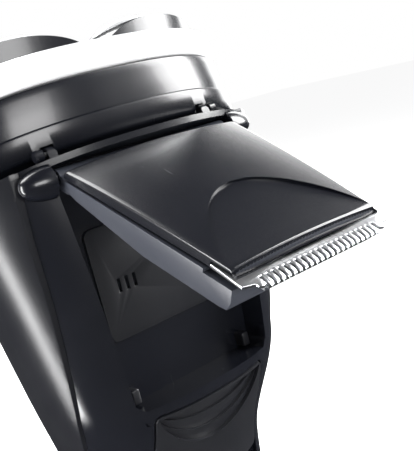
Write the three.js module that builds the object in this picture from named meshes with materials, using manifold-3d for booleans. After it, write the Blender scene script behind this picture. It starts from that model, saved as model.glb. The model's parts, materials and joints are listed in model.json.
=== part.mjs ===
// Rotary electric shaver with a hair trimmer that swings out of its back.
// Millimetres, +Z up, the front of the handle faces -Y and the trimmer is at +Y.
import * as THREE from 'three';
import { mergeVertices } from 'three/addons/utils/BufferGeometryUtils.js';
import Module from 'manifold-3d';

const wasm = await Module();
wasm.setup();

// Handle: [height, size] stations, joined by smooth curves.
const batteryRadius = 6.5;
const batteryLength = 46;
const batteryDepth = 2 * batteryRadius;
const widthStations = [[0, 17.6], [12, 18.8], [30, 18.4], [48, 17.8], [65, 19.2], [86, 24.1], [107, 27.4],
  [128, 30.4], [136, 31]];
const backStations = [[0, 9.5], [10, 10.8], [30, 9.6], [48, 7.4], [65, 9.3], [86, 17], [107, 17.8], [128, 17],
  [136, 16.5]];
const aheadOfBattery = [[0, 0.4], [12, -1], [40, -2], [65, -2.6], [90, -4.6], [105, -8], [114, -13.4],
  [136, -20]];
const frontStations = aheadOfBattery.map(([height, ahead]) => [height, ahead - batteryDepth]);
const backDepthStations = [[0, 11], [48, 11.5], [65, 16], [86, 18], [136, 18]];
const sectionPower = 2.53;
const handleTop = 136;
const wall = 2;
const gap = 0.35;
const jointPlaneY = -4;

// Head unit, in a frame that leans forward with its origin at the centre of the lower rim.
const headTilt = 20.5 * Math.PI / 180;
const headCentre = new THREE.Vector3(0, -7.64, 123.07);
const headHalfWidth = 33.2;
const headPower = 2.5;
const headLean = Math.tan(headTilt);
const deckDrop = 2;
const roofThickness = 1;
const chamberHeight = 10.3;
const bandHeight = 5.2;
const ridgeHeight = 4;
const guardRadius = 7.6;
const guardToRim = 6.3;
const headHalfDepth = 2 * guardRadius + guardToRim;
const guardsApart = 9.2;
const shavingHeadX = guardRadius + guardsApart / 2;
const guardShift = 5.4;
const rearHeadY = guardShift + guardRadius;
const frontHeadY = guardShift - guardRadius;
const floatTravel = 1.5;

// Drive train.
const hubY = (shavingHeadX ** 2 + rearHeadY ** 2 - frontHeadY ** 2) / (2 * (rearHeadY - frontHeadY));
const hubToHead = hubY - frontHeadY;
const hubTeeth = 16;
const driveTeeth = 16;
const driveModule = 2 * hubToHead / (hubTeeth + driveTeeth);
const pinionTeeth = 8;
const wheelTeeth = 28;
const pinionOffset = 11;
const pinionModule = 2 * pinionOffset / (pinionTeeth + wheelTeeth);
const pinionY = hubY - pinionOffset;
const motorWidth = 20;
const motorDepth = 15;
const motorLength = 18;

// Hair trimmer, in a frame on its hinge axis: y is out of the back and -z is towards the comb.
const hingeY = 14;
const hingeZ = 126;
const trimmerOpen = 61.9 * Math.PI / 180;
const trimmerTop = 3.18;
const trimmerRear = 2.5;
const trimmerFront = 37.8;
const trimmerRearHalf = 17.55;
const trimmerFrontHalf = 14.9;
const trimmerDeep = 6.4;
const trimmerShallow = 3.4;
const trimmerKink = 20.8;
const combTeeth = 22;
const combPitch = 1.074;
const combReach = 2;

// Bay in the back of the handle.
const bayFloorY = 9.2;
const bayBottomZ = 84.6;
const bayTopZ = 133;
const bayClear = 0.6;
const bayWall = 1.2;

// Buttons and slide.
const slideTravel = 4;
const slideLength = 20;
const powerZ = 72;
const powerRadius = 6;
const powerTravel = 1.2;
const releaseZ = 103;
const releaseTravel = 1.2;
const socketWidth = 8.6;
const socketDepth = 5.6;
const socketHeight = 9;

const shaver = new THREE.Group();
const headGroup = new THREE.Group();
headGroup.position.copy(headCentre);
headGroup.rotation.x = headTilt;
const trimmerGroup = new THREE.Group();
trimmerGroup.position.set(0, hingeY, hingeZ);
trimmerGroup.rotation.x = trimmerOpen;
shaver.add(headGroup, trimmerGroup);

const finishes = {
  gloss: { color: 0x101216, roughness: 0.22, metalness: 0 },
  satin: { color: 0x1c1e24, roughness: 0.42, metalness: 0 },
  slate: { color: 0x3a3d46, roughness: 0.45, metalness: 0 },
  grip: { color: 0x15171b, roughness: 0.55, metalness: 0 },
  silver: { color: 0xd9dce0, roughness: 0.28, metalness: 0.9 },
  steel: { color: 0xb9bdc2, roughness: 0.25, metalness: 1 },
  brass: { color: 0xb08d4f, roughness: 0.35, metalness: 1 },
  nylon: { color: 0xd8d5cb, roughness: 0.5, metalness: 0 },
  rubber: { color: 0x0c0c0d, roughness: 0.8, metalness: 0 },
  board: { color: 0x1d5a38, roughness: 0.5, metalness: 0 },
  label: { color: 0x3f6ea8, roughness: 0.5, metalness: 0 },
  lens: { color: 0xbfe3d0, roughness: 0.15, metalness: 0 },
};

// Solids.

function solidOf(geometry) {
  const clean = geometry.clone();
  clean.deleteAttribute('normal');
  clean.deleteAttribute('uv');
  const merged = mergeVertices(clean, 1e-4);
  const vertProperties = new Float32Array(merged.attributes.position.array);
  const triVerts = new Uint32Array(merged.index.array);
  return new wasm.Manifold(new wasm.Mesh({ numProp: 3, vertProperties, triVerts }));
}

function addPiece(parent, name, solid, finish) {
  const { vertProperties, triVerts } = solid.getMesh();
  const geometry = new THREE.BufferGeometry();
  geometry.setAttribute('position', new THREE.BufferAttribute(new Float32Array(vertProperties), 3));
  geometry.setIndex(new THREE.BufferAttribute(new Uint32Array(triVerts), 1));
  geometry.computeVertexNormals();
  const mesh = new THREE.Mesh(geometry, new THREE.MeshStandardMaterial(finishes[finish]));
  mesh.name = name;
  parent.add(mesh);
  return mesh;
}

function box(x0, x1, y0, y1, z0, z1) {
  const geometry = new THREE.BoxGeometry(x1 - x0, y1 - y0, z1 - z0);
  return solidOf(geometry.translate((x0 + x1) / 2, (y0 + y1) / 2, (z0 + z1) / 2));
}

// A round rod or cone along 'x', 'y' or 'z' from low to high, at the two other coordinates.
function rod(axis, radius, low, high, at, sides = 20, endRadius = radius) {
  const geometry = new THREE.CylinderGeometry(endRadius, radius, high - low, sides);
  geometry.translate(0, (low + high) / 2, 0);
  if (axis === 'x') geometry.rotateZ(-Math.PI / 2).translate(0, at[0], at[1]);
  if (axis === 'y') geometry.translate(at[0], 0, at[1]);
  if (axis === 'z') geometry.rotateX(Math.PI / 2).translate(at[0], at[1], 0);
  return solidOf(geometry);
}

// An outline in the XY plane, extruded along Z.
function prism(points, low, high) {
  const shape = new THREE.Shape(points.map(([x, y]) => new THREE.Vector2(x, y)));
  const geometry = new THREE.ExtrudeGeometry(shape, { depth: high - low, bevelEnabled: false });
  return solidOf(geometry.translate(0, 0, low));
}

// An outline in the YZ plane, extruded along X.
function sidePrism(points, low, high) {
  const shape = new THREE.Shape(points.map(([y, z]) => new THREE.Vector2(y, z)));
  const geometry = new THREE.ExtrudeGeometry(shape, { depth: high - low, bevelEnabled: false });
  geometry.translate(0, 0, low).rotateY(Math.PI / 2).rotateX(Math.PI / 2);
  return solidOf(geometry);
}

// An outline in the XZ plane, extruded along Y.
function backPrism(points, low, high) {
  const shape = new THREE.Shape(points.map(([x, z]) => new THREE.Vector2(x, z)));
  const geometry = new THREE.ExtrudeGeometry(shape, { depth: high - low, bevelEnabled: false });
  return solidOf(geometry.rotateX(Math.PI / 2).translate(0, high, 0));
}

// A closed tube whose cross sections come from pointAt(share of height, angle, share of radius).
function loft(around, steps, pointAt) {
  const geometry = new THREE.CylinderGeometry(1, 1, 1, around, steps).rotateX(Math.PI / 2);
  const position = geometry.attributes.position;
  for (let i = 0; i < position.count; i += 1) {
    const x = position.getX(i);
    const y = position.getY(i);
    const point = pointAt(position.getZ(i) + 0.5, Math.atan2(y, x), Math.hypot(x, y));
    position.setXYZ(i, ...point);
  }
  return solidOf(geometry);
}

// A coil of round wire along Z, standing between low and high at (x, y).
function coil(radius, wire, turns, low, high, x, y) {
  class Helix extends THREE.Curve {
    getPoint(share) {
      const angle = share * turns * 2 * Math.PI;
      const z = low + wire + share * (high - low - 2 * wire);
      return new THREE.Vector3(x + radius * Math.cos(angle), y + radius * Math.sin(angle), z);
    }
  }
  const section = new THREE.Shape();
  section.absarc(0, 0, wire, 0, 2 * Math.PI);
  const options = { steps: turns * 8, extrudePath: new Helix(), curveSegments: 2, bevelEnabled: false };
  return solidOf(new THREE.ExtrudeGeometry(section, options));
}

// A smooth curve through [place, value] stations that never overshoots them.
function smoothCurve(stations) {
  const last = stations.length - 1;
  const rise = (i) => (stations[i + 1][1] - stations[i][1]) / (stations[i + 1][0] - stations[i][0]);
  const slopes = stations.map((_, i) => {
    if (i === 0) return rise(0);
    if (i === last) return rise(last - 1);
    const before = rise(i - 1);
    const after = rise(i);
    return before * after <= 0 ? 0 : 2 * before * after / (before + after);
  });
  return (place) => {
    let i = 0;
    while (i < last - 1 && place > stations[i + 1][0]) i += 1;
    const length = stations[i + 1][0] - stations[i][0];
    const t = Math.min(1, Math.max(0, (place - stations[i][0]) / length));
    const startPull = t * (1 - t) ** 2 * length * slopes[i];
    const endPull = t ** 2 * (1 - t) * length * slopes[i + 1];
    const blend = t * t * (3 - 2 * t);
    return stations[i][1] * (1 - blend) + stations[i + 1][1] * blend + startPull - endPull;
  };
}

function rounded(angle, power) {
  const lift = (value) => Math.sign(value) * Math.abs(value) ** (2 / power);
  return [lift(Math.cos(angle)), lift(Math.sin(angle))];
}

// Handle shells.

const handleHalfWidth = smoothCurve(widthStations);
const handleBack = smoothCurve(backStations);
const handleFront = smoothCurve(frontStations);
const handleBackDepth = smoothCurve(backDepthStations);

// The handle's outer surface moved inwards by inset, between two heights.
function handleSolid(inset, low = 0, high = handleTop, around = 32, steps = 11) {
  return loft(around, steps, (share, angle, radius) => {
    const z = low + share * (high - low);
    const centreY = handleBack(z) - handleBackDepth(z);
    const [across, along] = rounded(angle, sectionPower);
    const depth = along > 0 ? handleBackDepth(z) - inset : centreY - handleFront(z) - inset;
    return [across * radius * (handleHalfWidth(z) - inset), centreY + along * radius * depth, z];
  });
}

function leanWithHead(solid) {
  return solid.rotate([headTilt * 180 / Math.PI, 0, 0]).translate(headCentre.toArray());
}

const baseThickness = 3;
const gripGrow = 0.7;
const belowDeck = leanWithHead(box(-60, 60, -90, 90, -160, -deckDrop));
const outerSolid = handleSolid(0).intersect(belowDeck);
const innerSolid = handleSolid(wall, baseThickness, handleTop);
const aboveBase = box(-60, 60, -60, 60, baseThickness + gap, handleTop + 10);
const shellSolid = outerSolid.subtract(innerSolid).intersect(aboveBase);

// Side view outline of a grip, grown outwards by grow.
function gripOutline(grow) {
  const rearEdge = new THREE.SplineCurve([[12.9, 133], [12.5, 120], [11.6, 105], [9, 90], [5, 79.5], [-3, 68]]
    .map(([y, z]) => new THREE.Vector2(y, z)));
  const frontEdge = new THREE.SplineCurve([[-3, 68], [-10, 78], [-13.5, 92], [-18, 108], [-24, 133]]
    .map(([y, z]) => new THREE.Vector2(y, z)));
  const points = [];
  for (const curve of [rearEdge, frontEdge]) {
    const steps = 6;
    for (let i = 0; i <= steps; i += 1) {
      const point = curve.getPoint(i / steps);
      const along = curve.getTangent(i / steps);
      points.push([point.x - along.y * grow, point.y + along.x * grow]);
    }
  }
  return points;
}

const fairingLow = 18.3;
const fairingLength = 5.6;
const fairingRadius = 2.7;
const trimmerPinRadius = 0.8;

// A teardrop on the trimmer's hinge axis, on one side of the bay.
function fairingDrop(side, grow) {
  const radius = fairingRadius + grow;
  const drop = solidOf(new THREE.SphereGeometry(1, 20, 16).rotateZ(Math.PI / 2)
    .scale(fairingLength + grow, radius, radius).translate(fairingLow, hingeY, hingeZ));
  const half = drop.intersect(box(fairingLow - grow, 60, -60, 60, 0, 200));
  return side > 0 ? half : half.mirror([1, 0, 0]);
}
const fairingHoles = fairingDrop(1, gap).add(fairingDrop(-1, gap));

const gripInnerX = 18.6;
const gripSkin = handleSolid(-gripGrow).subtract(handleSolid(wall)).intersect(belowDeck)
  .subtract(backPrism(bayOutline(bayWall + gap), bayFloorY - bayWall - gap, 40))
  .subtract(fairingHoles);
let gripHoles = null;
for (const [name, side] of [['left_grip', 1], ['right_grip', -1]]) {
  const low = side > 0 ? gripInnerX : -50;
  const high = side > 0 ? 50 : -gripInnerX;
  const hole = sidePrism(gripOutline(gap), low - gap, high + gap);
  gripHoles = gripHoles ? gripHoles.add(hole) : hole;
  addPiece(shaver, name, gripSkin.intersect(sidePrism(gripOutline(0), low, high)), 'grip');
}

// Bay outline seen from behind, grown sideways and downwards.
function bayOutline(grow) {
  const slope = (trimmerRearHalf - trimmerFrontHalf) / (trimmerFront - trimmerRear);
  const halfAt = (z) => trimmerRearHalf + bayClear + grow - slope * (hingeZ - trimmerRear - z);
  const low = bayBottomZ - grow;
  const high = bayTopZ;
  return [[-halfAt(low), low], [halfAt(low), low], [halfAt(high), high], [-halfAt(high), high]];
}

const tubBlock = backPrism(bayOutline(bayWall), bayFloorY - bayWall, 40).intersect(outerSolid);
const bayHollow = backPrism(bayOutline(0), bayFloorY, 60)
  .intersect(leanWithHead(box(-60, 60, -90, 90, -160, -deckDrop - roofThickness)));

// The thumb slide's channel under the bay.
const slideHalf = 12.4;
const slideTopZ = bayBottomZ - bayWall - 0.6;
const slideLowZ = slideTopZ - slideLength;
const slideDeep = 2.8;
const slideMiddleZ = (slideTopZ + slideLowZ) / 2;
const slideAngle = Math.atan2(handleBack(slideTopZ) - handleBack(slideLowZ), slideLength);
const slideMiddleY = (handleBack(slideTopZ) + handleBack(slideLowZ)) / 2;

// Moves a solid made in the slide's frame (y out of the back, z along the travel) into place.
function placeOnSlide(solid) {
  return solid.rotate([-slideAngle * 180 / Math.PI, 0, 0]).translate([0, slideMiddleY, slideMiddleZ]);
}
const halfSlide = slideLength / 2;
const channelBlock = placeOnSlide(box(-slideHalf - 1.5, slideHalf + 1.5, -slideDeep - 1.4, 6,
  -halfSlide - slideTravel - 1.6, halfSlide + 1.4)).intersect(outerSolid);
const channelHollow = placeOnSlide(box(-slideHalf - gap, slideHalf + gap, -slideDeep - gap, 12,
  -halfSlide - slideTravel - 0.4, halfSlide + 0.4));
const behindSeam = box(-60, 60, jointPlaneY + gap / 2, 60, -5, handleTop + 10);
const aheadOfSeam = box(-60, 60, -60, jointPlaneY - gap / 2, -5, handleTop + 10);
const headHingeY = 20.4;
const headHingeH = -0.2;
const lugRadius = 1.05;
const rearScrewPlaces = [[-8, 22], [8, 22]];

let rearHousing = shellSolid.intersect(behindSeam).subtract(gripHoles);
rearHousing = rearHousing.add(tubBlock).add(channelBlock);
rearHousing = rearHousing.subtract(bayHollow).subtract(channelHollow).subtract(fairingHoles);
for (const [x, z] of rearScrewPlaces) {
  rearHousing = rearHousing.subtract(rod('y', 2.1, 7.4, 30, [x, z], 14));
  rearHousing = rearHousing.subtract(rod('y', 1.25, 0, 30, [x, z], 14));
}

// Knuckles of the head hinge, made in the head's frame: outer ones on the housing.
function headLug(low, high) {
  return rod('x', lugRadius, low, high, [headHingeY, headHingeH], 14);
}
const headPinHole = rod('x', 0.75, -30, 30, [headHingeY, headHingeH], 12);
const housingLugs = [[15.2, 16.8], [-16.8, -15.2]].map(([low, high]) => {
  const foot = box(low, high, headHingeY - lugRadius, headHingeY + lugRadius, -deckDrop - 0.5, headHingeH);
  return leanWithHead(headLug(low, high).add(foot).subtract(headPinHole));
});
for (const lug of housingLugs) rearHousing = rearHousing.add(lug);
rearHousing = rearHousing.subtract(leanWithHead(headPinHole));
addPiece(shaver, 'rear_housing', rearHousing, 'gloss');

const powerSurfaceY = handleFront(powerZ);
const releaseSurfaceY = handleFront(releaseZ);
const releaseHalf = 6.5;
const releaseTall = 2.6;
const lensZ = 52;
let frontHousing = shellSolid.intersect(aheadOfSeam).subtract(gripHoles);
frontHousing = frontHousing.subtract(rod('y', powerRadius + gap, -40, -8, [0, powerZ], 28));
frontHousing = frontHousing.subtract(box(-releaseHalf - gap, releaseHalf + gap, -40, -12,
  releaseZ - releaseTall - gap, releaseZ + releaseTall + gap));
frontHousing = frontHousing.subtract(rod('y', 1.5 + gap, -40, -8, [0, lensZ], 14));
addPiece(shaver, 'front_housing', frontHousing, 'gloss');

// Base, socket and contacts.

const socketX = socketWidth / 2;
const socketY = -6;
const baseScrewY = -1;
const socketFloor = baseThickness + socketHeight;
const socketBlock = box(-socketX - 1.2, socketX + 1.2, socketY - socketDepth / 2 - 1.2,
  socketY + socketDepth / 2 + 1.2, 0.6, socketFloor + 1);
const baseScrewX = 10.5;
let baseCap = handleSolid(0, 0, baseThickness, 32, 1);
baseCap = baseCap.subtract(box(-socketX - 1.6, socketX + 1.6, socketY - socketDepth / 2 - 1.6,
  socketY + socketDepth / 2 + 1.6, -1, baseThickness + 1));
for (const x of [-baseScrewX, baseScrewX]) {
  baseCap = baseCap.subtract(rod('z', 1.2, -1, 10, [x, baseScrewY], 14));
  baseCap = baseCap.subtract(rod('z', 2.1, -1, 1.7, [x, baseScrewY], 14));
}
addPiece(shaver, 'base_cap', baseCap, 'satin');
const socketHollow = box(-socketX, socketX, socketY - socketDepth / 2, socketY + socketDepth / 2, -1,
  socketFloor);
const pinX = 1.9;
const pinRadius = 0.55;
let socket = socketBlock.subtract(socketHollow);
for (const x of [-pinX, pinX]) {
  socket = socket.subtract(rod('z', pinRadius + gap, socketFloor - 1, socketFloor + 4, [x, socketY], 12));
}
addPiece(shaver, 'charging_socket', socket, 'satin');
for (const [name, x] of [['socket_pin_left', pinX], ['socket_pin_right', -pinX]]) {
  addPiece(shaver, name, rod('z', pinRadius, baseThickness + 2.4, socketFloor + 3, [x, socketY], 12), 'brass');
}

// Chassis, battery and board.

const chassisFront = 1.4;
const chassisBack = 2.6;
const chassisHalf = 11;
const chassisLow = 15.5;
const shelfTop = 95;
const batteryLow = 20;
const batteryHigh = batteryLow + batteryLength;
const batteryY = chassisFront - gap - batteryRadius;
let chassis = box(-chassisHalf, chassisHalf, chassisFront, chassisBack, chassisLow, shelfTop);
const fingerFront = wall - batteryDepth;
const fingers = [[chassisLow, chassisLow + 1.5, fingerFront],
  [batteryHigh + 3, batteryHigh + 4.5, fingerFront + 2],
  [shelfTop - 1.5, shelfTop, fingerFront - 2.6]];
for (const [low, high, front] of fingers) {
  chassis = chassis.add(box(-chassisHalf + 2, chassisHalf - 2, front, chassisBack, low, high));
}
const springPostY = fingerFront - 3.2;
chassis = chassis.add(box(-3, 3, springPostY, springPostY + 1.4, shelfTop - 1.5, releaseZ + 3));
for (const [x, z] of rearScrewPlaces) {
  chassis = chassis.subtract(rod('y', 1.25, 0, 10, [x, z], 14));
}
for (const x of [-baseScrewX, baseScrewX]) {
  chassis = chassis.add(rod('z', 2.2, baseThickness + 1, chassisLow + 1, [x, baseScrewY], 14)
    .intersect(box(-20, 20, -20, 20, baseThickness + gap, chassisLow + 1)));
  chassis = chassis.subtract(rod('z', 1.2, baseThickness - 1, 12, [x, baseScrewY], 14));
}
const fingerClear = 0.1;
chassis = chassis.intersect(handleSolid(wall + fingerClear));
addPiece(shaver, 'chassis', chassis, 'satin');
const battery = rod('z', batteryRadius, batteryLow, batteryHigh, [0, batteryY], 28);
addPiece(shaver, 'battery_cell', battery, 'label');
for (const [name, low, high] of [['battery_tab_top', batteryHigh + gap, batteryHigh + gap + 0.8],
  ['battery_tab_bottom', batteryLow - gap - 0.8, batteryLow - gap]]) {
  addPiece(shaver, name, box(-2.5, 2.5, batteryY - 5, batteryY + 5, low, high), 'steel');
}
const boardFront = fingerFront + 0.4;
const boardBack = boardFront + 1.4;
const boardLow = batteryHigh + 2;
addPiece(shaver, 'circuit_board', box(-8, 8, boardFront, boardBack, boardLow, shelfTop - 1.5 - gap), 'board');
for (const [index, x] of [-baseScrewX, baseScrewX].entries()) {
  const screw = rod('z', 1.75, 0.5, 1.6, [x, baseScrewY], 14)
    .add(rod('z', 0.85, 1.5, 10.5, [x, baseScrewY], 12));
  addPiece(shaver, `base_screw_${index + 1}`, screw, 'steel');
}
for (const [index, [x, z]] of rearScrewPlaces.entries()) {
  const outside = handleBack(z) - 1.2;
  const screw = rod('y', 1.75, Math.min(outside, 8.6) - 1.0, Math.min(outside, 8.6), [x, z], 14)
    .add(rod('y', 0.85, 1.2, 8, [x, z], 12));
  addPiece(shaver, `housing_screw_${index + 1}`, screw, 'steel');
}

// Deck, motor and buttons.

const deckThickness = 1.6;
const shaftRadius = 1;
const motorTop = -5.6;
let deck = handleSolid(wall + gap, 60, handleTop)
  .intersect(leanWithHead(box(-60, 60, -60, 60, -deckDrop - deckThickness, -deckDrop)));
deck = deck.subtract(backPrism(bayOutline(bayWall + gap), bayFloorY - bayWall - gap, 60));
deck = deck.subtract(leanWithHead(rod('z', shaftRadius + 0.8, -9, 0, [0, pinionY], 16)));
addPiece(shaver, 'top_deck', deck, 'satin');
const sealRing = rod('z', 3.4, -deckDrop + 0.3, -0.9, [0, pinionY], 24)
  .subtract(rod('z', shaftRadius + 0.4, -9, 0, [0, pinionY], 16));
addPiece(headGroup, 'deck_seal', sealRing, 'rubber');
const motorCan = rod('z', motorWidth / 2, motorTop - motorLength, motorTop, [0, pinionY], 32)
  .intersect(box(-20, 20, pinionY - motorDepth / 2, pinionY + motorDepth / 2, -40, 0))
  .subtract(rod('z', shaftRadius + 0.4, motorTop - 4, 0, [0, pinionY], 16));
addPiece(headGroup, 'motor', motorCan, 'steel');

// The power button: a round cap with a stem that reaches the switch on the board.
const switchFront = boardFront - 1.6;
const powerStemBack = switchFront - gap - powerTravel;
const powerCapBack = powerSurfaceY + 2.2;
const powerButton = rod('y', powerRadius, powerSurfaceY - 0.7, powerCapBack, [0, powerZ], 28)
  .add(rod('y', 1.2, powerCapBack - 0.5, powerStemBack, [0, powerZ], 12));
addPiece(shaver, 'power_button', powerButton, 'satin');
const switchBody = box(-3, 3, switchFront + 0.5, boardFront - gap, powerZ - 3, powerZ + 3)
  .add(rod('y', 1.4, switchFront, switchFront + 0.6, [0, powerZ], 14));
addPiece(shaver, 'tact_switch', switchBody, 'steel');
const lens = rod('y', 1.5, handleFront(lensZ) - 0.1, handleFront(lensZ) + 2.4, [0, lensZ], 14);
addPiece(shaver, 'indicator_lens', lens, 'lens');

// The head release button with a spring behind it.
const releaseBack = releaseSurfaceY + 2.4;
const releaseButton = box(-releaseHalf, releaseHalf, releaseSurfaceY - 0.9, releaseBack,
  releaseZ - releaseTall, releaseZ + releaseTall);
addPiece(shaver, 'head_release_button', releaseButton, 'satin');
const springAcross = (low, high) => coil(1.7, 0.25, 4, low, high, 0, 0).rotate([90, 0, 0]);
addPiece(shaver, 'release_spring', springAcross(-springPostY + gap, -releaseBack - releaseTravel)
  .translate([0, 0, releaseZ]), 'steel');

// Trimmer hinge fairings and slide.

const pinReach = 14.6;
for (const [name, side] of [['left_hinge_fairing', 1], ['right_hinge_fairing', -1]]) {
  let pin = rod('x', trimmerPinRadius, pinReach, fairingLow + 1, [hingeY, hingeZ], 16);
  if (side < 0) pin = pin.mirror([1, 0, 0]);
  addPiece(shaver, name, fairingDrop(side, 0).add(pin), 'gloss');
}

const scoopRadius = 16;
const scoopDepth = 1.5;
let slideBody = box(-slideHalf, slideHalf, -slideDeep, 5, -halfSlide, halfSlide);
for (const [drop, depth] of [[0, scoopDepth], [6.5, scoopDepth * 0.6]]) {
  const scoop = solidOf(new THREE.SphereGeometry(scoopRadius, 28, 18)
    .translate(0, scoopRadius - depth, halfSlide - 4 - drop));
  slideBody = slideBody.subtract(scoop);
}
addPiece(shaver, 'trimmer_slide', placeOnSlide(slideBody).intersect(handleSolid(0.2)), 'satin');

// Head unit, made in the head's frame.

// A leaning stack of head sections; each station is [height, inset from the rim].
function headStack(stations, around = 36) {
  const last = stations.length - 1;
  return loft(around, last, (share, angle, radius) => {
    const [height, inset] = stations[Math.round(share * last)];
    const [across, along] = rounded(angle, headPower);
    const x = across * radius * (headHalfWidth - inset);
    return [x, headLean * height + along * radius * (headHalfDepth - inset), height];
  });
}

const chamberFloor = 1.4;
const chamberWall = 1.6;
const chamberStations = [[0, 0.3], [0.5, 0], [ridgeHeight - 0.3, 0.05], [ridgeHeight + 0.2, 0.5], [7, 0.85],
  [chamberHeight, 1.4]];
const chamberInside = [[chamberFloor, chamberWall], [ridgeHeight, chamberWall], [7, 0.85 + chamberWall],
  [chamberHeight + 0.01, 1.4 + chamberWall]];
const pinionTip = pinionModule * (pinionTeeth / 2 + 0.85);
let chamber = headStack(chamberStations).subtract(headStack(chamberInside));
chamber = chamber.subtract(rod('z', pinionTip + 0.9, -1, 3, [0, pinionY], 20));
const chamberLugs = [[17.2, 18.8], [-18.8, -17.2]];
const lugClear = rod('x', lugRadius + gap, 14.8, 17.15, [headHingeY, headHingeH], 14);
chamber = chamber.subtract(lugClear).subtract(lugClear.mirror([1, 0, 0]));
for (const [low, high] of chamberLugs) chamber = chamber.add(headLug(low, high).subtract(headPinHole));
chamber = chamber.subtract(headPinHole);
addPiece(headGroup, 'hair_chamber', chamber, 'gloss');
for (const [name, low, high] of [['head_hinge_pin_left', 15.3, 18.7], ['head_hinge_pin_right', -18.7, -15.3]]) {
  addPiece(headGroup, name, rod('x', 0.4, low, high, [headHingeY, headHingeH], 10), 'steel');
}

const bandLow = chamberHeight + gap;
const bandTop = chamberHeight + bandHeight;
const bandWall = 2;
const bandInner = 1.5 + bandWall;
const band = headStack([[bandLow, 1.5], [bandLow + 0.5, 1.15], [bandTop - 2.4, 1.2], [bandTop - 0.8, 1.7],
  [bandTop, 2.7]]).subtract(headStack([[bandLow - 1, bandInner], [bandTop + 1, bandInner + 0.3]]));
addPiece(headGroup, 'head_frame', band, 'silver');

const headPlaces = [[shavingHeadX, rearHeadY], [-shavingHeadX, rearHeadY], [0, frontHeadY]];
const gearLow = 4.4;
const gearHigh = 6.4;
const spindleRadius = 1.1;
const plateLow = 7.2;
const plateHigh = 8.3;
let gearPlate = headStack([[plateLow, 1 + chamberWall + gap], [plateHigh, 1.2 + chamberWall + gap]], 40);
for (const place of headPlaces) {
  gearPlate = gearPlate.subtract(rod('z', spindleRadius + gap, 0, 20, place, 16));
}
addPiece(headGroup, 'gear_plate', gearPlate, 'satin');

const frameLow = bandLow + 0.2;
const frameHigh = frameLow + 1.9;
const dialRadius = 2.7;
const cutterHubRadius = 2.3;
let retainingFrame = headStack([[frameLow, bandInner + 0.3 + gap], [frameHigh, bandInner + 0.3 + gap]], 40);
retainingFrame = retainingFrame.subtract(rod('z', dialRadius + gap, 0, 20, [0, hubY], 20));
for (const place of headPlaces) {
  retainingFrame = retainingFrame.subtract(rod('z', cutterHubRadius + 0.6, 0, 20, place, 20));
}
addPiece(headGroup, 'retaining_frame', retainingFrame, 'satin');
const dialGrip = box(-2, 2, hubY - 0.5, hubY + 0.5, frameHigh - 0.5, frameHigh + 0.05);
const dial = rod('z', dialRadius, frameLow, frameHigh - 0.4, [0, hubY], 20).add(dialGrip);
addPiece(headGroup, 'lock_dial', dial, 'nylon');

// A spur gear along Z with straight-sided teeth; phase turns the first tooth.
function gear(teeth, module, low, high, place, phase) {
  const pitchAngle = 2 * Math.PI / teeth;
  const rootRadius = module * (teeth / 2 - 1.15);
  const tipRadius = module * (teeth / 2 + 0.85);
  const points = [];
  for (let i = 0; i < teeth; i += 1) {
    const middle = phase + i * pitchAngle;
    const corners = [[rootRadius, -0.29], [tipRadius, -0.11], [tipRadius, 0.11], [rootRadius, 0.29]];
    for (const [radius, turn] of corners) {
      const angle = middle + turn * pitchAngle;
      points.push([place[0] + radius * Math.cos(angle), place[1] + radius * Math.sin(angle)]);
    }
  }
  return prism(points, low, high);
}

// The phase that puts a gap of the follower where the leader has a tooth.
function followerPhase(leaderTeeth, leaderPhase, followerTeeth, direction) {
  const leaderTurn = (direction - leaderPhase) / (2 * Math.PI / leaderTeeth);
  return direction + Math.PI - (0.5 - leaderTurn) * (2 * Math.PI / followerTeeth);
}

const wheelLow = 1.9;
const wheelHigh = 3.5;
const axleRadius = 0.8;
const pinionPhase = Math.PI / 2;
const wheelPhase = followerPhase(pinionTeeth, pinionPhase, wheelTeeth, Math.PI / 2);
const hubPhase = 0;
let hub = gear(wheelTeeth, pinionModule, wheelLow, wheelHigh, [0, hubY], wheelPhase)
  .add(rod('z', 2.6, wheelHigh - 0.2, gearLow + 0.2, [0, hubY], 20))
  .add(gear(hubTeeth, driveModule, gearLow, gearHigh, [0, hubY], hubPhase));
hub = hub.subtract(rod('z', axleRadius + gap, 0, 20, [0, hubY], 16));
addPiece(headGroup, 'central_gear', hub, 'nylon');
const axle = rod('z', axleRadius, chamberFloor + gap, plateLow - gap, [0, hubY], 12);
addPiece(headGroup, 'central_axle', axle, 'steel');
const pinion = gear(pinionTeeth, pinionModule, wheelLow - 0.4, wheelHigh, [0, pinionY], pinionPhase)
  .add(rod('z', shaftRadius, motorTop - 3.4, wheelLow, [0, pinionY], 16));
addPiece(headGroup, 'motor_pinion', pinion, 'brass');

const driverLow = 12;
const driverTop = 15.8;
const driverHalf = [1.3, 0.65];
const cutterLow = 14.2;
const discLow = 17.7;
const discHigh = 18.5;
const bladeTop = 19.9;
const cutterRadius = guardRadius - 1;
const guardTop = 21;
const guardBottom = 17.4;
const collarLow = frameHigh + floatTravel + gap;

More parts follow.
